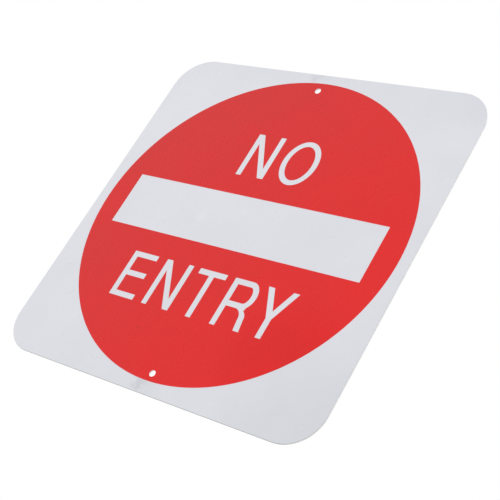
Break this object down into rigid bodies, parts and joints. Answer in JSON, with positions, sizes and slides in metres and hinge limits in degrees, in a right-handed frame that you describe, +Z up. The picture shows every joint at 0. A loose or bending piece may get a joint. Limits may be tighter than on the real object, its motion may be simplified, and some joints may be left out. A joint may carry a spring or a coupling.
{
  "type": "no entry sign",
  "caption": "Square no entry road sign: aluminium plate with round corners, white face, red disc with a white bar, and two bolt holes for a post.",
  "frame": {"origin": "on the back face of the plate, midway between the two bolt holes", "axes": "+Z up and +X to the right as the sign is read; the face looks towards -Y, and +Y points into the post"},
  "size_m": [0.4572, 0.0019, 0.4572],
  "materials": {
    "bare_aluminium": "mill finish, rolled",
    "white_sheeting": "semi-gloss film",
    "red_film": "semi-gloss film"
  },
  "bodies": {
    "root": {"aluminium_blank": "bare_aluminium", "white_sheeting": "white_sheeting", "red_field": "red_film"}
  },
  "joints": []
}
